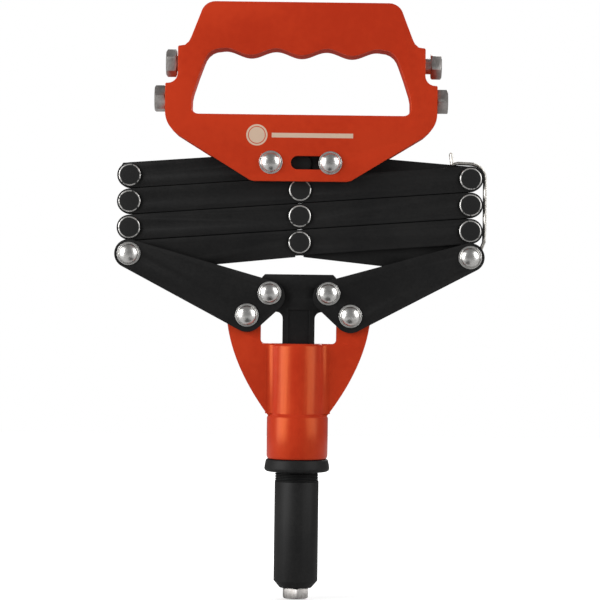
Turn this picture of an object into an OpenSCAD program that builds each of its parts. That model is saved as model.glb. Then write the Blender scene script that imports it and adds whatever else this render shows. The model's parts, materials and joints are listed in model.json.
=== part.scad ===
// Lazy-tong hand riveter, standing nose down, closed.
// Origin: centre of the nosepiece mouth. +Z up the tool, -Y towards the viewer, X across.

/* [Tongs] */
// Distance from a link's middle pin to each end pin
link_half = 89; // [70:0.5:110]
// Angle of the closed links from level, in degrees
rest_angle = 4.4; // [4.2:0.1:6]
// Width of a link
link_w = 13.2; // [10:0.1:13.2]
// Thickness of a link plate
link_t = 3; // [2:0.1:3]
// Thickness of the single inner links
inner_t = 4; // [3:0.1:4]
// Radius of the tong pins
pin_r = 3; // [2:0.1:3.5]
// Radius of the flat heads on the tong pins
head_r = 5.85; // [4:0.05:5.85]
// Height of the pins at the outer ends of the levers
lever_pin_z = 178.7; // [175:0.1:185]
// Half spacing of the handle pins
grip_pin_x = 15.45; // [14:0.05:17]
// Height of the handle pins
grip_pin_z = 226.8; // [225:0.1:228]

/* [Levers] */
// Half spacing of the pins that join the levers to the housing
hinge_x = 26.9; // [25:0.1:29]
// Height of those pins
hinge_z = 147.4; // [145:0.1:150]
// Half spacing of the pins that drive the crosshead
drive_x = 15.3; // [14:0.1:15.5]
// Height of those pins
drive_z = 159; // [157:0.1:160]
// Radius of the crosshead pins
drive_r = 2.4; // [2:0.1:2.6]
// Thickness of a lever plate
lever_t = 3; // [2.5:0.1:3.5]
// Radius of the domed rivet heads
dome_r = 6.1; // [5:0.1:6.3]
// Travel of the crosshead
stroke = 12.2; // [12:0.1:13]

/* [Nose] */
// Radius of the housing barrel
barrel_r = 15.95; // [15:0.05:18]
// Radius of the housing's round middle, above the barrel
boss_r = 14.2; // [13:0.1:15]
// Radius of the nose sleeve
sleeve_r = 11.5; // [10:0.1:12]
// Radius of the sleeve's bore
sleeve_bore_r = 8.5; // [8:0.1:9]
// Width across flats of the nosepieces
hex_af = 12.5; // [11:0.1:13]
// Radius of the mandrel hole in the fitted nosepiece
mandrel_r = 1.65; // [1:0.05:2.2]

/* [Handle] */
// Thickness of the handle from front to back
handle_t = 22; // [20:0.5:26]
// Half height of the slot in the handle
slot_r = 3.5; // [3.2:0.1:4]
// Travel of the sliding handle pin
slot_travel = 17; // [16:0.1:18]
// Mean height of the finger wave
wave_z = 284.1; // [282:0.1:286]
// Length of the wave for one finger
wave_pitch = 26.4; // [25:0.1:28]

/* [Hidden] */
$fn = 48;
run = 0.05;
pitch = 2 * link_half * sin(rest_angle);
end_x = link_half * cos(rest_angle);
b_y = inner_t / 2;
side_gap = 0.15;
a_in = b_y + side_gap;
a_out = a_in + link_t;
l_in = a_out + side_gap;
l_out = l_in + lever_t;
arm_y = l_in - 0.3;
fillet_r = 5;
fillet_y = arm_y + fillet_r;
fillet_x = sqrt(pow(boss_r + fillet_r, 2) - pow(fillet_y, 2));
dome_y = l_out + side_gap;
chan_y = 6.5;
half_t = handle_t / 2;
drive_slot = drive_r + 0.42;
drive_in = 4.8;
shank_r = 4.2;
stem_z = 124.2 - stroke;
function cz(i) = lever_pin_z + (i - 0.5) * pitch;
function sz(i) = lever_pin_z + i * pitch;
function arc(x, z, r, a0, a1, n) =
    [for (i = [0:n]) [x + r * cos(a0 + (a1 - a0) * i / n), z + r * sin(a0 + (a1 - a0) * i / n)]];
function bend(p, c, q, n) =
    [for (i = [0:n]) let (t = i / n) (1 - t) * (1 - t) * p + 2 * t * (1 - t) * c + t * t * q];
function flip(p) = [for (i = [len(p) - 1:-1:0]) [-p[i][0], p[i][1]]];
// The outer tangent of circles p and q (x, z, r), on the right of the way from p to q.
function tang(p, q) =
    let (dx = q[0] - p[0], dz = q[1] - p[1], d = sqrt(dx * dx + dz * dz))
    let (a = atan2(dz, dx) - acos((p[2] - q[2]) / d))
    [[p[0] + p[2] * cos(a), p[1] + p[2] * sin(a)], [q[0] + q[2] * cos(a), q[1] + q[2] * sin(a)]];

orange = [0.72, 0.21, 0.11];
black = [0.12, 0.12, 0.12];
steel = [0.62, 0.62, 0.62];
bright = [0.82, 0.82, 0.82];

// ---- helpers -------------------------------------------------------------------------

// A profile drawn in X and Z, made solid from y0 to y1.
module slab(y0, y1) translate([0, y1, 0]) rotate([90, 0, 0]) linear_extrude(y1 - y0) children();

// A round bar along Y.
module bar_y(x, z, r, y0, y1) translate([x, y0, z]) rotate([-90, 0, 0]) cylinder(r = r, h = y1 - y0);

// A profile of radius against Y, turned about an axis along Y.
module turn_y(x, z, pts) translate([x, 0, z]) rotate([-90, 0, 0]) rotate_extrude() polygon(pts);

// A rivet with a domed head and a thin rim at each end.
rim_h = 0.6;
dome_h = 2.8;
module dome_rivet(x, z, r, y) turn_y(x, z, concat(
    [[0, -y - rim_h - dome_h]],
    [for (i = [1:6]) [(dome_r - 1) * sin(i * 15), -y - rim_h - dome_h * cos(i * 15)]],
    [[dome_r, -y - rim_h], [dome_r, -y], [r, -y], [r, y], [dome_r, y], [dome_r, y + rim_h]],
    [for (i = [6:-1:1]) [(dome_r - 1) * sin(i * 15), y + rim_h + dome_h * cos(i * 15)]],
    [[0, y + rim_h + dome_h]]));

// A tong pin with a flat head at each end.
module flat_pin(x, z, h) turn_y(x, z, [[0, -a_out - h], [head_r - 0.5, -a_out - h],
    [head_r, -a_out - h + 0.4], [head_r, -a_out], [pin_r, -a_out], [pin_r, a_out],
    [head_r, a_out], [head_r, a_out + h - 0.4], [head_r - 0.5, a_out + h], [0, a_out + h]]);

// A spacer ring on a pin.
module ring_y(x, z, ro, ri, y0, y1) difference() {
    bar_y(x, z, ro, y0, y1);
    bar_y(x, z, ri, y0 - 1, y1 + 1);
}

// A flat link between the pins at p and q (x, z), with a hole at each point of holes
// (x, z, radius). y0 and y1 are its faces, extra is an outline added to it.
module link(p, q, holes, y0, y1, extra = []) {
    turn = atan2(q[1] - p[1], q[0] - p[0]);
    difference() {
        slab(y0, y1) {
            polygon(concat(arc(q[0], q[1], link_w / 2, turn - 90, turn + 90, 16),
                arc(p[0], p[1], link_w / 2, turn + 90, turn + 270, 16)));
            if (len(extra) > 0) polygon(extra);
        }
        for (h = holes) bar_y(h[0], h[1], h[2], y0 - 1, y1 + 1);
    }
}

// Links number i, up to the right (outer, a) and up to the left (inner, b).
module outer_link(i, y0, y1, extra = [])
    link([-end_x, sz(i - 1)], [end_x, sz(i)], [[-end_x, sz(i - 1), pin_r + (i == 1 ? run : 0)],
        [0, cz(i), pin_r], [end_x, sz(i), pin_r]], y0, y1, extra);
module inner_link(i, extra = [])
    link([end_x, sz(i - 1)], [-end_x, sz(i)], [[end_x, sz(i - 1), pin_r + run],
        [0, cz(i), pin_r + run], [-end_x, sz(i), pin_r + run]], -b_y, b_y, extra);

// The first links are deeper on the side of the lever.
belly = [[4, cz(1) - 3], [2, cz(1) - 7.5], [60, lever_pin_z - 6.7], [78, lever_pin_z - 4.6],
    [70, lever_pin_z + 2]];

// ---- nose and housing ----------------------------------------------------------------

// One side of the fork: a curved flank, the boss at the lever pin, the window's side and floor.
fork_boss_r = 10.6;
window_side = 19.7;
window_floor = 132.8;
shoulder_z = 94.2;
wing = concat(
    [[0, 90]],
    bend([barrel_r - 0.7, shoulder_z + 1], [35, 121.5], [37.4, 145.9], 14),
    arc(hinge_x, hinge_z, fork_boss_r, 8, 132, 10),
    [[window_side, 151.5]],
    arc(window_side - 2, window_floor + 2, 2, 0, -90, 6),
    [[0, window_floor]]);

module housing() color(orange) difference() {
    union() {
        slab(-arm_y, arm_y) union() {
            polygon(wing);
            polygon(flip(wing));
        }
        rotate_extrude() polygon([[0, 72.6], [barrel_r - 1.6, 72.6], [barrel_r - 0.5, 73],
            [barrel_r, 74.2], [barrel_r, shoulder_z], [barrel_r - 0.5, 95.1], [boss_r, 96.4],
            [boss_r, 131.2],
            [boss_r - 0.4, 132.2], [boss_r - 1.2, window_floor], [0, window_floor]]);
        for (sx = [-1, 1], sy = [-1, 1]) scale([sx, sy, 1]) translate([0, 0, 96.4])
            linear_extrude(35.6) polygon(concat([[0, 0], [fillet_x + 0.5, 0], [fillet_x + 0.5, arm_y + 0.02]],
                arc(fillet_x, fillet_y, fillet_r, -90, -180 + atan2(fillet_y, fillet_x), 7)));
    }
    for (s = [-1, 1]) bar_y(s * hinge_x, hinge_z, pin_r, -9, 9);
    // guide for the crosshead stem, guide for the rod, jaw space, sleeve socket
    translate([-8.45, -5.1, 98]) cube([16.9, 10.2, 40]);
    translate([0, 0, 70]) cylinder(r = 5.06, h = 40);
    translate([0, 0, 70]) cylinder(r = sleeve_bore_r, h = 18);
    translate([0, 0, 70]) cylinder(r = 10.5, h = 14.05);
}

module lock_ring() color(black) rotate_extrude() polygon([[10.65, 66.1], [15.4, 66.1],
    [16.6, 66.6], [17.05, 67.6], [16.8, 69.6], [16.3, 71.9], [16, 72.5], [10.65, 72.5]]);

// Ridges of the adjusting thread that shows below the lock ring.
ridge_z = 60.9;
ridge_pitch = 0.85;
ridges = [for (i = [0:5], j = [0:3])
    [[sleeve_r - 0.9, 0.1], [sleeve_r - 0.1, 0.35], [sleeve_r - 0.1, 0.6],
        [sleeve_r - 0.9, ridge_pitch]][j] + [0, ridge_z + i * ridge_pitch]];

module nose_sleeve() color(black) difference() {
    rotate_extrude() polygon(concat(
        [[0, 5.6], [8.35, 5.6], [sleeve_r, 9.2], [sleeve_r, ridge_z]],
        ridges, [[10.6, 66.1], [10.6, 72.5], [10.45, 72.6], [10.45, 84], [0, 84]]));
    translate([0, 0, 13.8]) cylinder(r = sleeve_bore_r, h = 74);
    cylinder(r = shank_r + run, h = 20);
}

// A nosepiece, mouth at the origin, shank upwards, with a hole of radius r.
head_h = 5.55;
shank_h = 12.6;
module nosepiece_form(r) difference() {
    union() {
        intersection() {
            cylinder(r = hex_af / sqrt(3), h = head_h, $fn = 6);
            rotate_extrude() polygon([[0, 0], [hex_af / 2 - 0.2, 0], [hex_af / 2 + 1, 0.8],
                [hex_af / 2 + 1, 5], [hex_af / 2, head_h], [0, head_h]]);
        }
        cylinder(r = shank_r, h = shank_h);
        translate([0, 0, shank_h]) cylinder(r1 = shank_r, r2 = 2.6, h = 3);
    }
    translate([0, 0, -1]) cylinder(r = r, h = 20);
}

module nosepiece() color(steel) rotate([0, 0, 36]) nosepiece_form(mandrel_r);

module housing_rivet_left() color(bright) dome_rivet(-hinge_x, hinge_z, pin_r, dome_y);
module housing_rivet_right() color(bright) dome_rivet(hinge_x, hinge_z, pin_r, dome_y);

// ---- crosshead, rod and jaws ---------------------------------------------------------

cross = concat([[0, stem_z], [8.35, stem_z], [8.35, 145.6]], arc(11.75, 145.9, 3.4, 180, 90, 5),
    [[19.3, 149.3], [19.3, 167.3], [17.7, 168.9], [0, 168.9]]);

module crosshead() color(black) difference() {
    slab(-arm_y, arm_y) union() {
        polygon(cross);
        polygon(flip(cross));
    }
    // slots that let the lever pins move inwards
    for (s = [-1, 1]) {
        bar_y(s * drive_x, drive_z, drive_slot, -9, 9);
        bar_y(s * (drive_x - drive_in), drive_z, drive_slot, -9, 9);
        translate([s * (drive_x - drive_in / 2) - drive_in / 2, -9, drive_z - drive_slot])
            cube([drive_in, 18, 2 * drive_slot]);
    }
    // shallow milled pocket on the front and the back of the stem
    for (s = [-1, 1]) translate([-5.5, s * arm_y - 0.8, 110]) cube([11, 1.6, 40.4]);
    translate([0, 0, stem_z - 1]) cylinder(r = 3, h = 13);
}

module draw_rod() color(steel) difference() {
    union() {
        translate([0, 0, stem_z - 1]) cylinder(r = 3, h = 13);
        translate([0, 0, 49]) cylinder(r = 5, h = stem_z - 49);
    }
    translate([0, 0, 47]) cylinder(r = 2.2, h = 55);
}

module rod_lock_nut() color(steel) difference() {
    translate([0, 0, 57.2]) cylinder(r = 7.6, h = 5, $fn = 6);
    translate([0, 0, 57]) cylinder(r = 5, h = 6);
}

module jaw_case() color(steel) rotate_extrude() polygon([[4.2, 27], [6.4, 27], [7.5, 28.4],
    [7.5, 57], [5, 57], [5, 49], [6.1, 49], [6.1, 38.5], [4.2, 27.8]]);

// Three jaws that close in the cone of the case.
module jaws() color(steel) for (a = [90, 210, 330]) rotate([0, 0, a]) intersection() {
    rotate_extrude() polygon([[1.2, 28.6], [4.15, 28.6], [5.7, 37.3], [5.7, 39], [1.2, 39]]);
    translate([0, 0, 27]) rotate([0, 0, -57]) rotate_extrude(angle = 114) square([8, 14]);
}

module jaw_pusher() color(steel) rotate_extrude() polygon([[1.9, 39.1], [5.6, 39.1],
    [5.9, 39.4], [5.9, 41], [3.2, 41], [3.2, 46], [1.9, 46]]);

// The spring is one turned strip whose cut across the wire is round.
wire_arc = 85;
module jaw_spring() color(steel) translate([0, 0, 41.1])
    linear_extrude(7.8, twist = -1260, slices = 42, $fn = 6) polygon(concat(
        [for (i = [-5:5]) let (t = wire_arc * i / 5, w = 0.5 * sqrt(1.02 - i * i / 25))
            [(4.6 + w) * cos(t), (4.6 + w) * sin(t)]],
        [for (i = [5:-1:-5]) let (t = wire_arc * i / 5, w = 0.5 * sqrt(1.02 - i * i / 25))
            [(4.6 - w) * cos(t), (4.6 - w) * sin(t)]]));

// ---- levers --------------------------------------------------------------------------

boss_end = [end_x, lever_pin_z, 7.5];
boss_hinge = [hinge_x, hinge_z, 8.7];
boss_drive = [drive_x + 0.47, drive_z - 1.74, 8.4];

module lever_plate(s, y0, y1) difference() {
    scale([s, 1, 1]) union() {
        for (c = [boss_end, boss_hinge, boss_drive]) bar_y(c[0], c[1], c[2], y0, y1);
        slab(y0, y1) polygon(concat(tang(boss_end, boss_drive), tang(boss_drive, boss_hinge),
            tang(boss_hinge, boss_end)));
    }
    bar_y(s * end_x, lever_pin_z, pin_r, y0 - 1, y1 + 1);
    bar_y(s * hinge_x, hinge_z, pin_r + run, y0 - 1, y1 + 1);
    bar_y(s * drive_x, drive_z, drive_r, y0 - 1, y1 + 1);
}

module left_lever_front() color(black) lever_plate(-1, -l_out, -l_in);
module left_lever_back() color(black) lever_plate(-1, l_in, l_out);
module right_lever_front() color(black) lever_plate(1, -l_out, -l_in);
module right_lever_back() color(black) lever_plate(1, l_in, l_out);
module left_drive_rivet() color(bright) dome_rivet(-drive_x, drive_z, drive_r, l_out);
module right_drive_rivet() color(bright) dome_rivet(drive_x, drive_z, drive_r, l_out);
module left_end_rivet() color(bright) dome_rivet(-end_x, lever_pin_z, pin_r, l_out);
module left_end_spacer() color(steel)
    ring_y(-end_x, lever_pin_z, 5, pin_r + run, -b_y, b_y);

// The right end rivet: its two headed ends stay with the lever, its core with the link.
module right_end_heads() color(bright) difference() {
    dome_rivet(end_x, lever_pin_z, pin_r, l_out);
    translate([end_x - 9, -l_in, lever_pin_z - 9]) cube([18, 2 * l_in, 18]);
}
module right_end_core() color(steel) union() {
    bar_y(end_x, lever_pin_z, pin_r, -a_out, a_out);
    for (s = [-1, 1]) ring_y(end_x, lever_pin_z, 3.9, pin_r - 0.5,
        s > 0 ? b_y : -a_out, s > 0 ? a_out : -b_y);
}

// ---- tongs ---------------------------------------------------------------------------

// The last links end at the handle. Each has an open curved notch on one side, in which the
// other link's handle rivet lies when the tongs are closed. The outer one has a square corner.
notch_r = pin_r + 0.35;
tip_z = cz(4) + grip_pin_x * tan(rest_angle);
module notch(side, y0, y1) scale([side, 1, 1]) {
    bar_y(-grip_pin_x, grip_pin_z, notch_r, y0 - 1, y1 + 1);
    slab(y0 - 1, y1 + 1) polygon(concat(
        arc(0, cz(4), grip_pin_x + notch_r + 0.1, 179, 128, 10),
        arc(0, cz(4), grip_pin_x - notch_r - 0.1, 128, 179, 10)));
}
corner = [[-end_x + 1, sz(3)], [-end_x + 1, sz(3) + 6.55], [-end_x - 3.6, sz(3) + 6.3],
    [-end_x - 6.25, sz(3) + 1.5]];
module tong_a4(y0, y1) difference() {
    link([-end_x, sz(3)], [grip_pin_x, tip_z], [[-end_x, sz(3), pin_r],
        [0, cz(4), pin_r], [grip_pin_x, grip_pin_z, pin_r]], y0, y1, corner);
    notch(1, y0, y1);
}

module tong_a1_front() color(black) outer_link(1, -a_out, -a_in, flip(belly));
module tong_a1_back() color(black) outer_link(1, a_in, a_out, flip(belly));
module tong_a2_front() color(black) outer_link(2, -a_out, -a_in);
module tong_a2_back() color(black) outer_link(2, a_in, a_out);
module tong_a3_front() color(black) outer_link(3, -a_out, -a_in);
module tong_a3_back() color(black) outer_link(3, a_in, a_out);
module tong_a4_front() color(black) tong_a4(-a_out, -a_in);
module tong_a4_back() color(black) tong_a4(a_in, a_out);
module tong_b1() color(black) inner_link(1, belly);
module tong_b2() color(black) inner_link(2);
module tong_b3() color(black) inner_link(3);
module tong_b4() color(black) difference() {
    link([end_x, sz(3)], [-grip_pin_x, tip_z], [[end_x, sz(3), pin_r + run],
        [0, cz(4), pin_r + run], [-grip_pin_x, grip_pin_z, pin_r + run]], -b_y, b_y);
    notch(-1, -b_y, b_y);
}
module middle_pin_1() color(black) flat_pin(0, cz(1), 1.5);
module middle_pin_2() color(black) flat_pin(0, cz(2), 1.5);
module middle_pin_3() color(black) flat_pin(0, cz(3), 1.2);
module middle_pin_4() color(black) flat_pin(0, cz(4), 1.1);
module left_pin_1() color(black) flat_pin(-end_x, sz(1), 1.5);
module left_pin_2() color(black) flat_pin(-end_x, sz(2), 1.5);
module left_pin_3() color(black) flat_pin(-end_x, sz(3), 1.5);
module right_pin_1() color(black) flat_pin(end_x, sz(1), 1.5);
module right_pin_2() color(black) flat_pin(end_x, sz(2), 1.5);
module right_pin_3() color(black) flat_pin(end_x, sz(3), 1.5);

// ---- handle --------------------------------------------------------------------------

outline = concat(
    [[0, 217.1], [24.2, 217.1], [26.4, 217.7]],
    [[64.1, 240.9]], arc(57.6, 252.6, 13, -50, 0, 6),
    [[70.6, 266.2]], arc(70, 266.8, 0.6, 0, 90, 3),
    arc(69.4, 272.6, 5.2, 270, 180, 6),
    [[64.2, 285.6]], arc(63.4, 286, 0.8, 0, 90, 3),
    [[60.6, 287.2], [58.6, 289], [57.4, 291.4]],
    [[52.3, 304.6]], arc(45, 302.3, 7.7, 20, 90, 6),
    [[0, 310]]);
// The grip's lower edge is a wave with one crest between each two fingers.
window = concat(
    [[0, 251.6]], arc(53.2, 255.4, 3.8, -90, 0, 6),
    [[56.9, 259.4], [56.3, 262.4], [53.5, 271], [50.8, 278.4], [49.8, 280.8], [48.4, 282.8],
        [46.4, 284.4], [44.2, 285.3]],
    [for (x = [42:-1.2:0]) [x, wave_z - 1.75 * cos(360 * x / wave_pitch)]]);
module finger_hole() slab(-half_t - 1, half_t + 1) union() {
    polygon(window);
    polygon(flip(window));
}

module handle() color(orange) difference() {
    slab(-half_t, half_t) union() {
        polygon(outline);
        polygon(flip(outline));
    }
    finger_hole();
    // the channel between the cheeks
    translate([-80, -chan_y, 210]) cube([160, 2 * chan_y, 28]);
    // the round hole and the slot of the handle rivets
    bar_y(-grip_pin_x, grip_pin_z, pin_r, -20, 20);
    bar_y(grip_pin_x, grip_pin_z, slot_r, -20, 20);
    bar_y(grip_pin_x - slot_travel, grip_pin_z, slot_r, -20, 20);
    translate([grip_pin_x - slot_travel, -20, grip_pin_z - slot_r]) cube([slot_travel, 40, 2 * slot_r]);
    // the holes that store the spare nosepieces
    for (s = [-1, 1]) {
        translate([s * 53.2, 0, 278.5]) rotate([0, s * 90, 0]) cylinder(r = shank_r + run, h = 20);
        translate([s * 59.5, 0, 260]) rotate([0, s * 90, 0]) cylinder(r = shank_r + run, h = 20);
    }
}

module handle_rivet_left() color(bright) dome_rivet(-grip_pin_x, grip_pin_z, pin_r, half_t);
module handle_rivet_right() color(bright) dome_rivet(grip_pin_x, grip_pin_z, pin_r, half_t + side_gap);
module handle_spacers() color(steel) {
    ring_y(grip_pin_x, grip_pin_z, 5.5, pin_r, side_gap - chan_y, -a_out);
    ring_y(grip_pin_x, grip_pin_z, 5.5, pin_r, a_out, chan_y - side_gap);
}

// A spare nosepiece in the side of the handle; gap is how far its head stands off.
module spare(s, x, z, r, gap, turn) color(steel) translate([s * (x + gap + head_h), 0, z])
    rotate([0, -s * 90, 0]) rotate([0, 0, turn]) nosepiece_form(r);
module spare_nosepiece_1() spare(-1, 64.2, 278.5, 1.15, 0.9, 8);
module spare_nosepiece_2() spare(-1, 70.6, 260, 1.35, 0.3, 22);
module spare_nosepiece_3() spare(1, 64.2, 278.5, 1.85, 3.2, 12);
module spare_nosepiece_4() spare(1, 70.6, 260, 2.1, 0.3, 26);

// ---- latch clip ----------------------------------------------------------------------

wire_r = 0.75;
clip_y = 3.4;
clip_r = link_w / 2 + 0.3 + wire_r;
tip = [end_x - 10.3, 0, sz(3) + 13];
module strand(p, q) hull() {
    translate(p) sphere(r = wire_r, $fn = 10);
    translate(q) sphere(r = wire_r, $fn = 10);
}
module clip_side(y) {
    path = concat(
        [for (i = [0:10]) [end_x + 4.9 * cos(-250 + i * 26.6), y, lever_pin_z + 4.9 * sin(-250 + i * 26.6)]],
        [[end_x + 7.5, y, lever_pin_z + 8.2], [end_x + clip_r + 0.1, y, lever_pin_z + 16]],
        [for (i = [0:6]) [end_x + clip_r * cos(i * 15.6), y, sz(3) + 0.4 + clip_r * sin(i * 15.6)]],
        [[end_x - 6.9, y, sz(3) + 8.3], [end_x - 9.6, y, sz(3) + 7.6], tip + [0, y, 0]]);
    for (i = [0:len(path) - 2]) strand(path[i], path[i + 1]);
}
module latch_clip() color(bright) {
    clip_side(-clip_y);
    clip_side(clip_y);
    strand(tip - [0, clip_y, 0], tip + [0, clip_y, 0]);
}

housing();
lock_ring();
nose_sleeve();
nosepiece();
housing_rivet_left();
housing_rivet_right();
crosshead();
draw_rod();
rod_lock_nut();
jaw_case();
jaws();
jaw_pusher();
jaw_spring();
left_lever_front();
left_lever_back();
left_drive_rivet();
left_end_rivet();
left_end_spacer();
right_lever_front();
right_lever_back();
right_drive_rivet();
right_end_heads();
right_end_core();
tong_a1_front();
tong_a1_back();
tong_a2_front();
tong_a2_back();
tong_a3_front();
tong_a3_back();
tong_a4_front();
tong_a4_back();
tong_b1();
tong_b2();
tong_b3();
tong_b4();
middle_pin_1();
middle_pin_2();
middle_pin_3();
middle_pin_4();
left_pin_1();
left_pin_2();
left_pin_3();
right_pin_1();
right_pin_2();
right_pin_3();
handle();
handle_rivet_left();
handle_rivet_right();
handle_spacers();
spare_nosepiece_1();
spare_nosepiece_2();
spare_nosepiece_3();
spare_nosepiece_4();
latch_clip();
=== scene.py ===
import json
import math

import bmesh
import bpy
from mathutils import Matrix, Vector


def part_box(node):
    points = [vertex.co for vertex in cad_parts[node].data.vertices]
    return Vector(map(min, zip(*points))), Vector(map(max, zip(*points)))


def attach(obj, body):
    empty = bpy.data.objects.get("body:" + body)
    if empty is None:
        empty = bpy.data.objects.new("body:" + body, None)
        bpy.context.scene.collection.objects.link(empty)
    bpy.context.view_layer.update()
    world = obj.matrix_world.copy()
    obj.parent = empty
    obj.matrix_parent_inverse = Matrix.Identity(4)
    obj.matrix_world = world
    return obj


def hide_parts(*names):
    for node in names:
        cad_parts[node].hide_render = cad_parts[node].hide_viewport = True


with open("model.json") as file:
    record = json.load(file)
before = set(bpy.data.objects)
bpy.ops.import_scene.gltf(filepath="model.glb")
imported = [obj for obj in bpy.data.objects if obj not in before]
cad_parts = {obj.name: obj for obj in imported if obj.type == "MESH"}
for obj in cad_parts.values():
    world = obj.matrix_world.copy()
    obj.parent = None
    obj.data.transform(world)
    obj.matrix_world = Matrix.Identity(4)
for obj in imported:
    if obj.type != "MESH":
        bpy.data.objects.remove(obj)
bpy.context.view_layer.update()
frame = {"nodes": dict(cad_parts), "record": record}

MM = 0.001

# ---- Stand, light and camera ---------------------------------------------------------
# A pale floor just under the nose, a white surround, two large soft lights at the front's
# sides, one behind, and a dark card that only reflections show. The camera looks straight
# at the flat front from far away, with a long lens.
view_height = 0.1556
view_across = 0.0006
camera_distance = 1.34
frame_span = 0.3135
camera_roll = -0.7
sensor_width = 36

camera = bpy.data.objects.new("camera", bpy.data.cameras.new("camera"))
bpy.context.scene.collection.objects.link(camera)
camera.data.sensor_width = sensor_width
camera.data.lens = sensor_width * camera_distance / frame_span
camera.location = (view_across, -camera_distance, view_height)
camera.rotation_euler = (Matrix.Rotation(math.radians(camera_roll), 3, "Y")
                         @ Matrix.Rotation(math.radians(90), 3, "X")).to_euler()
bpy.context.scene.camera = camera
bpy.context.scene.view_settings.view_transform = "Standard"


class Wire:
    """A shader socket that takes part in Python arithmetic."""

    def __init__(self, tree, socket=None):
        self.tree = tree
        self.socket = socket

    def node(self, kind, inputs=None, out=0, **settings):
        """A new node: settings first, then its inputs. Returns its output as a wire."""
        made = self.tree.nodes.new("ShaderNode" + kind)
        for key, value in settings.items():
            setattr(made, key, value)
        for key, value in (inputs or {}).items():
            if isinstance(value, Wire):
                self.tree.links.new(value.socket, made.inputs[key])
            else:
                made.inputs[key].default_value = value
        return Wire(self.tree, made.outputs[out])

    def maths(self, operation, first, second=0.0):
        return self.node("Math", {0: first, 1: second}, operation=operation)

    def __add__(self, other):
        return self.maths("ADD", self, other)

    def __mul__(self, other):
        return self.maths("MULTIPLY", self, other)

    def __sub__(self, other):
        return self.maths("SUBTRACT", self, other)

    def __rsub__(self, other):
        return self.maths("SUBTRACT", other, self)

    __radd__ = __add__
    __rmul__ = __mul__

    def band(self, low, high):
        """0 below low, 1 above high, a smooth step between them."""
        return self.node("MapRange", {"Value": self, "From Min": low, "From Max": high},
                         interpolation_type="SMOOTHSTEP")

    def noise(self, scale, detail=3.0, roughness=0.5):
        return self.node("TexNoise", {"Vector": self, "Scale": scale, "Detail": detail,
                                      "Roughness": roughness})

    def mix(self, first, second):
        """A colour between two others, by this wire."""
        return self.node("Mix", {0: self, 6: first, 7: second}, out=2, data_type="RGBA")

    def feed(self, target):
        self.tree.links.new(self.socket, target)


world = bpy.data.worlds.new("studio")
world.use_nodes = True
bpy.context.scene.world = world
sky = Wire(world.node_tree)
surround = world.node_tree.nodes["Background"]
surround.inputs["Strength"].default_value = 1.0
dim_white = (0.19, 0.19, 0.19, 1)
white = (1, 1, 1, 1)
sky.node("LightPath").mix(dim_white, white).feed(surround.inputs["Color"])
light_aim = Vector((0, 0, 0.16))


def soft_light(name, place, size, power):
    """A large square light that points at the middle of the tool."""
    lamp = bpy.data.lights.new(name, "AREA")
    lamp.size = size
    lamp.energy = power
    holder = bpy.data.objects.new(name, lamp)
    bpy.context.scene.collection.objects.link(holder)
    holder.location = place
    holder.rotation_euler = (light_aim - Vector(place)).to_track_quat("-Z", "Y").to_euler()


soft_light("key_light", (-1.15, -0.6, 0.5), 1.0, 19)
soft_light("fill_light", (1.1, -0.7, 0.6), 1.0, 11)
soft_light("back_light", (0.3, 0.9, 0.8), 0.8, 8)


def sheet(name, half_width, half_length, centre):
    """A flat rectangle of the stage. Returns it and its material."""
    shape = bmesh.new()
    bmesh.ops.create_grid(shape, x_segments=1, y_segments=1, size=1)
    bmesh.ops.scale(shape, verts=shape.verts, vec=(half_width, half_length, 1))
    bmesh.ops.translate(shape, verts=shape.verts, vec=centre)
    flat = bpy.data.objects.new(name, bpy.data.meshes.new(name))
    shape.to_mesh(flat.data)
    shape.free()
    paint = bpy.data.materials.new(name + "_paint")
    paint.use_nodes = True
    flat.data.materials.append(paint)
    bpy.context.scene.collection.objects.link(flat)
    return flat, paint


card, card_paint = sheet("dark_card", 0.075, 0.15, (0, -0.24, 0.004))
card.visible_camera = False
card.visible_diffuse = False
card.visible_shadow = False
card_shader = card_paint.node_tree.nodes["Principled BSDF"]
card_shader.inputs["Base Color"].default_value = (0.005, 0.005, 0.005, 1)

# The floor glows for the camera only, a little less around the nose, so that it looks
# white like the surround and still shows a soft shadow.
floor_drop = 0.6 * MM
shadow_start = 0.03
shadow_end = 0.1
floor_tree = sheet("floor", 1.6, 1.6, (0, 0, -floor_drop))[1].node_tree
floor_shader = floor_tree.nodes["Principled BSDF"]
floor_shader.inputs["Base Color"].default_value = (0.5, 0.5, 0.5, 1)
floor_shader.inputs["Roughness"].default_value = 0.9
floor_shader.inputs["Emission Strength"].default_value = 1.0
floor_wire = Wire(floor_tree)
floor_place = floor_wire.node("TexCoord", out=3)
away = floor_wire.node("VectorMath", {0: floor_place}, out=1, operation="LENGTH")
glow = floor_wire.node("LightPath") * (0.6 + 0.4 * away.band(shadow_start, shadow_end))
glow.mix((0, 0, 0, 1), white).feed(floor_shader.inputs["Emission Color"])

# ---- Housing -------------------------------------------------------------------------
# An aluminium die casting: fork arms, guide and barrel in one. It is powder coated in a
# glossy orange-red, so its edges are soft and the coat has a faint orange-peel texture.
node_body = {n: b for b, nodes in frame["record"]["behaviour"]["bodies"].items() for n in nodes}


def finish(name, constants):
    """A new material. Returns it, its shader's inputs and the object's own coordinates."""
    material = bpy.data.materials.new(name)
    material.use_nodes = True
    inputs = material.node_tree.nodes["Principled BSDF"].inputs
    for socket, value in constants.items():
        inputs[socket].default_value = value
    return material, inputs, Wire(material.node_tree).node("TexCoord", out=3)


def grain(inputs, height, strength, depth):
    """Relief from a height wire."""
    relief = height.node("Bump", {"Height": height, "Strength": strength, "Distance": depth})
    relief.feed(inputs["Normal"])


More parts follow.
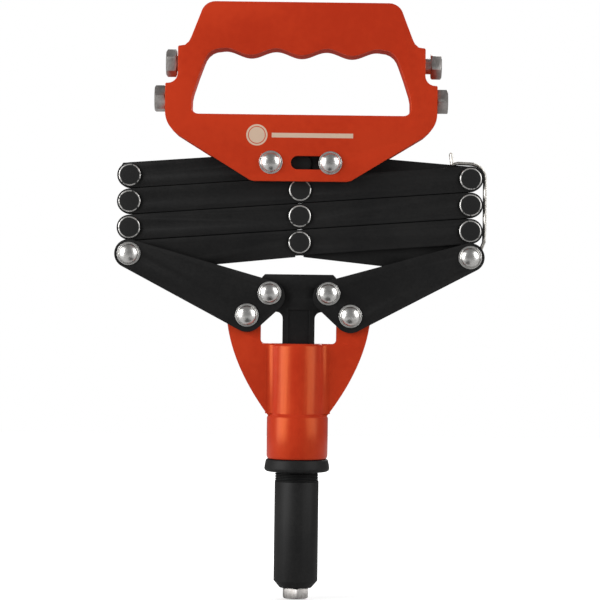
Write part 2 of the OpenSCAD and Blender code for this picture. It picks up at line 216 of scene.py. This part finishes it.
def orange_coat(name):
    """The coat; returns its own coordinates and its colour too, for a print on top."""
    material, inputs, place = finish(name, {"Specular Tint": (1, 0.32, 0.10, 1),
                                            "Specular IOR Level": 0.75})
    cloud = place.noise(24, 2)
    mottle = place.noise(260, 3)
    shade = (cloud * 0.7 + mottle * 0.3).band(0.35, 0.65)
    colour = shade.mix((0.435, 0.028, 0.0095, 1), (0.50, 0.037, 0.012, 1))
    colour.feed(inputs["Base Color"])
    (0.26 + 0.06 * mottle).feed(inputs["Roughness"])
    grain(inputs, place.noise(1300, 2), 0.05, 0.2 * MM)
    return material, inputs, place, colour


def hold(piece, node):
    """A piece takes over a node: its body and its place."""
    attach(piece, node_body[node])
    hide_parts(node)


def worked_copy(node, radius, segments, material, turn_limit=32):
    """A node's own shape with its sharp edges broken to a radius. It replaces the node."""
    shape = bmesh.new()
    shape.from_mesh(frame["nodes"][node].data)
    bmesh.ops.remove_doubles(shape, verts=shape.verts, dist=0.003 * MM)
    bmesh.ops.dissolve_limit(shape, angle_limit=math.radians(0.6), verts=shape.verts,
                             edges=shape.edges)
    piece = bpy.data.objects.new(node + "_finished", bpy.data.meshes.new(node + "_finished"))
    shape.to_mesh(piece.data)
    shape.free()
    piece.data.materials.clear()
    piece.data.materials.append(material)
    piece.data.shade_smooth()
    bpy.context.scene.collection.objects.link(piece)
    edge = piece.modifiers.new("broken_edges", "BEVEL")
    edge.limit_method = "ANGLE"
    edge.angle_limit = math.radians(turn_limit)
    edge.width = radius
    edge.segments = segments
    edge.harden_normals = True
    hold(piece, node)


worked_copy("housing", 0.9 * MM, 3, orange_coat("orange_coat")[0])

# ---- Lock ring and nose sleeve -------------------------------------------------------
# Turned steel with a black oxide finish: an adjusting sleeve with its thread's last turns
# showing, and a round ring that locks it against the housing.


def black_oxide(name, tone, gloss):
    material, inputs, place = finish(name, {"Specular IOR Level": 0.14})
    cloud = place.noise(45, 3)
    speck = place.noise(900, 3)
    shade = (cloud * 0.6 + speck * 0.4).band(0.3, 0.7)
    low = (tone * 0.78, tone * 0.78, tone * 0.80, 1)
    high = (tone * 1.3, tone * 1.28, tone * 1.26, 1)
    shade.mix(low, high).feed(inputs["Base Color"])
    (gloss + 0.16 * speck).feed(inputs["Roughness"])
    grain(inputs, speck, 0.12, 0.15 * MM)
    return material


oxide = black_oxide("black_oxide", 0.0135, 0.42)
worked_copy("lock_ring", 0.25 * MM, 2, oxide, 28)
worked_copy("nose_sleeve", 0.2 * MM, 2, oxide, 28)

# ---- Nosepieces ----------------------------------------------------------------------
# Hardened steel, turned from hexagon bar, with a drilled hole for the mandrel. One is
# fitted in the sleeve, and four sizes are screwed into the handle's sides. The fitted one
# has a darker tone of the steel and the stored ones a lighter one: painted shade and
# painted light, set to how each is lit.


def bar_steel(name, tone):
    material, inputs, place = finish(name, {"Metallic": 1.0})
    cloud = place.noise(160, 3)
    streak = place.node("Mapping", {"Vector": place, "Scale": (1, 1, 0.12)}).noise(2600, 2)
    shade = (cloud * 0.6 + streak * 0.4).band(0.32, 0.68)
    dark = (tone * 0.55, tone * 0.52, tone * 0.49, 1)
    shade.mix(dark, (tone, tone * 0.96, tone * 0.93, 1)).feed(inputs["Base Color"])
    (0.30 + 0.22 * cloud).feed(inputs["Roughness"])
    grain(inputs, streak, 0.12, 0.1 * MM)
    return material


# painted shade and light: the fitted nosepiece's steel is toned 0.5, the stored ones' 0.62, for
# how each is lit
worked_copy("nosepiece", 0.35 * MM, 2, bar_steel("painted_shade_bar_steel", 0.5), 25)
stored_steel = bar_steel("bar_steel", 0.62)
for count in range(1, 5):
    worked_copy(f"spare_nosepiece_{count}", 0.35 * MM, 2, stored_steel, 25)

# ---- Crosshead and what it carries ---------------------------------------------------
# A painted black T that slides in the housing's guide. The draw rod, its lock nut, the jaw
# case, the three jaws, their pusher and spring are turned steel inside the sleeve. The
# spacers and the core on the tongs' pins are of the same steel, and as hidden.
black = black_oxide("black_paint", 0.0095, 0.42)
worked_copy("crosshead", 0.5 * MM, 2, black)


def turned_steel():
    material, inputs, place = finish("turned_steel", {"Metallic": 1.0})
    rings = place.node("Mapping", {"Vector": place, "Scale": (0.1, 0.1, 1)}).noise(3000, 2)
    rings.mix((0.34, 0.33, 0.32, 1), (0.56, 0.55, 0.54, 1)).feed(inputs["Base Color"])
    (0.26 + 0.18 * rings).feed(inputs["Roughness"])
    return material


inner_steel = turned_steel()
for node in ("draw_rod", "rod_lock_nut", "jaw_case", "jaws", "jaw_pusher", "jaw_spring",
             "left_end_spacer", "right_end_core", "handle_spacers"):
    holder = frame["nodes"][node].data
    holder.materials.clear()
    holder.materials.append(inner_steel)

# ---- Levers and tong links -----------------------------------------------------------
# Blanked steel plates, painted satin black. Pressing leaves their edges slightly rounded.
for side in ("left", "right"):
    for layer in ("front", "back"):
        worked_copy(f"{side}_lever_{layer}", 0.45 * MM, 2, black)
for count in range(1, 5):
    for link in (f"tong_a{count}_front", f"tong_a{count}_back", f"tong_b{count}"):
        worked_copy(link, 0.35 * MM, 2, black)

# ---- Tong pins -----------------------------------------------------------------------
# Black steel pins riveted over to flat heads. Handling has rubbed the paint off the rim
# of each head, which shows as a thin bright ring. The pin inside the handle's channel is
# left all black without it, as painted shade in the channel.


def turned_on_y(name, profile, x, z, material):
    """A piece turned about the axis along Y at x, z; profile is (radius, y) pairs."""
    sides = 72
    smooth_below = math.radians(38)
    shape = bmesh.new()
    points = [shape.verts.new((radius, y, 0)) for radius, y in profile]
    edges = [shape.edges.new(pair) for pair in zip(points, points[1:])]
    bmesh.ops.spin(shape, geom=points + edges, cent=(0, 0, 0), axis=(0, 1, 0), angle=math.tau,
                   steps=sides, use_merge=True, use_duplicate=False)
    bmesh.ops.remove_doubles(shape, verts=shape.verts, dist=0.001 * MM)
    bmesh.ops.recalc_face_normals(shape, faces=shape.faces)
    for edge in shape.edges:
        edge.smooth = len(edge.link_faces) == 2 and edge.calc_face_angle() < smooth_below
    bmesh.ops.translate(shape, verts=shape.verts, vec=(x, 0, z))
    piece = bpy.data.objects.new(name, bpy.data.meshes.new(name))
    shape.to_mesh(piece.data)
    shape.free()
    piece.data.shade_smooth()
    piece.data.materials.append(material)
    bpy.context.scene.collection.objects.link(piece)
    return piece


def mirrored(half):
    """A profile of one end, continued to the same shape at the other end."""
    return half + [(radius, -y) for radius, y in reversed(half)]


def pin_paint(name, centre, head, wear_and_shade):
    """Black paint, rubbed through to bright steel on a ring near the head's rim; the last
    argument at zero leaves the ring off, as painted shade.
    """
    material, inputs, place = finish(name, {"Specular IOR Level": 0.3})
    flat = place.node("Mapping", {"Vector": place, "Location": (-centre.x, 0, -centre.z),
                                  "Scale": (1, 0, 1)})
    radius = flat.node("VectorMath", {0: flat}, out=1, operation="LENGTH")
    worn = place.noise(420, 3, 0.6)
    ring = (radius + (worn - 0.5) * (0.5 * MM)).band(head - 0.9 * MM, head - 0.55 * MM)
    ring = ring * (1 - radius.band(head - 0.22 * MM, head - 0.12 * MM))
    rubbed = ring * worn.band(0.33, 0.5) * wear_and_shade
    speck = place.noise(900, 3)
    rubbed.mix((0.0085, 0.0085, 0.0085, 1), (0.60, 0.59, 0.57, 1)).feed(inputs["Base Color"])
    (rubbed * 0.9).feed(inputs["Metallic"])
    (0.40 + 0.14 * speck - 0.1 * rubbed).feed(inputs["Roughness"])
    grain(inputs, speck, 0.12, 0.15 * MM)
    return material


shank_radius = 3 * MM
plate_face = 5.15 * MM
head_side = 0.6 * MM
round_width = 0.7 * MM
round_depth = 0.5 * MM
round_start = round_width + 0.05 * MM
for node in ([f"middle_pin_{count}" for count in range(1, 5)]
             + [f"{side}_pin_{count}" for side in ("left", "right") for count in range(1, 4)]):
    low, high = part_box(node)
    centre = (low + high) / 2
    head = (high.x - low.x) / 2
    reach = (high.y - low.y) / 2
    half = [(0, -reach), (head - round_start, -reach)]
    for step in (20, 40, 60, 80):
        turn = math.radians(step)
        half.append((head - round_start + round_width * math.sin(turn),
                     -reach + round_depth * (1 - math.cos(turn))))
    half += [(head, -reach + head_side), (head, -plate_face), (shank_radius, -plate_face)]
    # painted shade: the pin in the handle's channel gets no bright ring
    wear_and_shade = 0 if node == "middle_pin_4" else 1
    paint = pin_paint(node + "_paint", centre, head, wear_and_shade)
    pin = turned_on_y(node + "_finished", mirrored(half), centre.x, centre.z, paint)
    hold(pin, node)

# ---- Domed rivets --------------------------------------------------------------------
# Chromed steel rivets with a domed head and a thin rim, front and back. The right end
# rivet is in two headed ends, one for each lever plate.


def chrome():
    material, inputs, place = finish("worn_chrome", {"Metallic": 1.0})
    film = place.noise(300, 3)
    colour = film.band(0.3, 0.7).mix((0.66, 0.65, 0.63, 1), (0.84, 0.83, 0.81, 1))
    colour.feed(inputs["Base Color"])
    (0.22 + 0.12 * place.noise(120, 4)).feed(inputs["Roughness"])
    grain(inputs, place.noise(700, 2), 0.06, 0.1 * MM)
    return material


bright = chrome()
rivet_seat = {"housing_rivet_left": 8.45, "housing_rivet_right": 8.45, "left_drive_rivet": 8.3,
              "right_drive_rivet": 8.3, "left_end_rivet": 8.3, "right_end_heads": 8.3,
              "handle_rivet_left": 11, "handle_rivet_right": 11.15}
dome_radius = 5.1 * MM
dome_height = 2.8 * MM
dome_steps = 12
rim_height = 0.6 * MM
rim_foot = 0.12 * MM
end_reach = 5.3 * MM
for node, seat_mm in rivet_seat.items():
    low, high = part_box(node)
    centre = (low + high) / 2
    rim = (high.x - low.x) / 2
    seat = seat_mm * MM
    rim_top = -seat - rim_height
    shank = 2.4 * MM if "drive" in node else shank_radius
    half = []
    for step in range(dome_steps + 1):
        turn = math.radians(90 * step / dome_steps)
        half.append((dome_radius * math.sin(turn), rim_top - dome_height * math.cos(turn)))
    half += [(dome_radius + rim_foot, rim_top + rim_foot), (rim - 0.35 * MM, rim_top),
             (rim - 0.1 * MM, rim_top + 0.1 * MM), (rim, rim_top + 0.3 * MM),
             (rim, -seat), (shank, -seat)]
    if node == "right_end_heads":
        profile = half + [(shank, -end_reach), (0, -end_reach)]
    else:
        profile = mirrored(half)
    rivet = turned_on_y(node + "_finished", profile, centre.x, centre.z, bright)
    if node == "right_end_heads":
        both = bmesh.new()
        both.from_mesh(rivet.data)
        front = both.verts[:] + both.edges[:] + both.faces[:]
        back = bmesh.ops.duplicate(both, geom=front)["geom"]
        back_verts = [part for part in back if isinstance(part, bmesh.types.BMVert)]
        back_faces = [part for part in back if isinstance(part, bmesh.types.BMFace)]
        bmesh.ops.scale(both, vec=(1, -1, 1), verts=back_verts)
        bmesh.ops.reverse_faces(both, faces=back_faces)
        both.to_mesh(rivet.data)
        both.free()
    hold(rivet, node)

# ---- Handle --------------------------------------------------------------------------
# An aluminium die casting in the housing's orange coat, duller on its cast sides, with edges
# rounded for the hand. Printed on the front are a plain pale disc, with a thin line inside
# its rim, and a plain bar.
coat, coat_inputs, place, colour = orange_coat("handle_coat")
across, depth, up = (place.node("SeparateXYZ", {0: place}, out=axis) for axis in range(3))
print_z = 240.9 * MM
disc_x = -22.8 * MM
disc_radius = 5.45 * MM
line_radius = 4.1 * MM
line_width = 0.4 * MM
bar_x = 6 * MM
bar_half_length = 21 * MM
bar_half_height = 1.1 * MM
front_y = -10.9 * MM
fade = 0.15 * MM
centred = place.node("Mapping", {"Vector": place, "Location": (-disc_x, 0, -print_z),
                                 "Scale": (1, 0, 1)})
radius = centred.node("VectorMath", {0: centred}, out=1, operation="LENGTH")
line_end = line_radius + line_width
line = radius.band(line_radius, line_radius + fade) * (1 - radius.band(line_end, line_end + fade))
disc = (1 - radius.band(disc_radius, disc_radius + fade)) * (1 - line)
along = across.maths("ABSOLUTE", across - bar_x)
aside = up.maths("ABSOLUTE", up - print_z)
bar = ((1 - along.band(bar_half_length, bar_half_length + 0.2 * MM))
       * (1 - aside.band(bar_half_height, bar_half_height + 0.2 * MM)))
on_front = 1 - depth.band(front_y, front_y + 0.2 * MM)
printed = ((disc + bar) * on_front).mix(colour, (0.60, 0.45, 0.34, 1))
printed.feed(coat_inputs["Base Color"])
on_face = depth.maths("ABSOLUTE", depth).band(9.6 * MM, 10.9 * MM)
(0.85 - 0.57 * on_face).feed(coat_inputs["Roughness"])
worked_copy("handle", 1.9 * MM, 4, coat, 40)

# ---- Latch clip ----------------------------------------------------------------------
# One length of spring wire, bent to hook over the ends of the closed tongs. It keeps its
# own shape and gets a drawn wire's warm, uneven shine.


def drawn_wire():
    material, inputs, place = finish("drawn_wire", {"Metallic": 1.0})
    film = place.noise(500, 3)
    colour = film.band(0.3, 0.7).mix((0.50, 0.47, 0.42, 1), (0.74, 0.72, 0.68, 1))
    colour.feed(inputs["Base Color"])
    (0.22 + 0.2 * film).feed(inputs["Roughness"])
    return material


clip = frame["nodes"]["latch_clip"].data
clip.materials.clear()
clip.materials.append(drawn_wire())
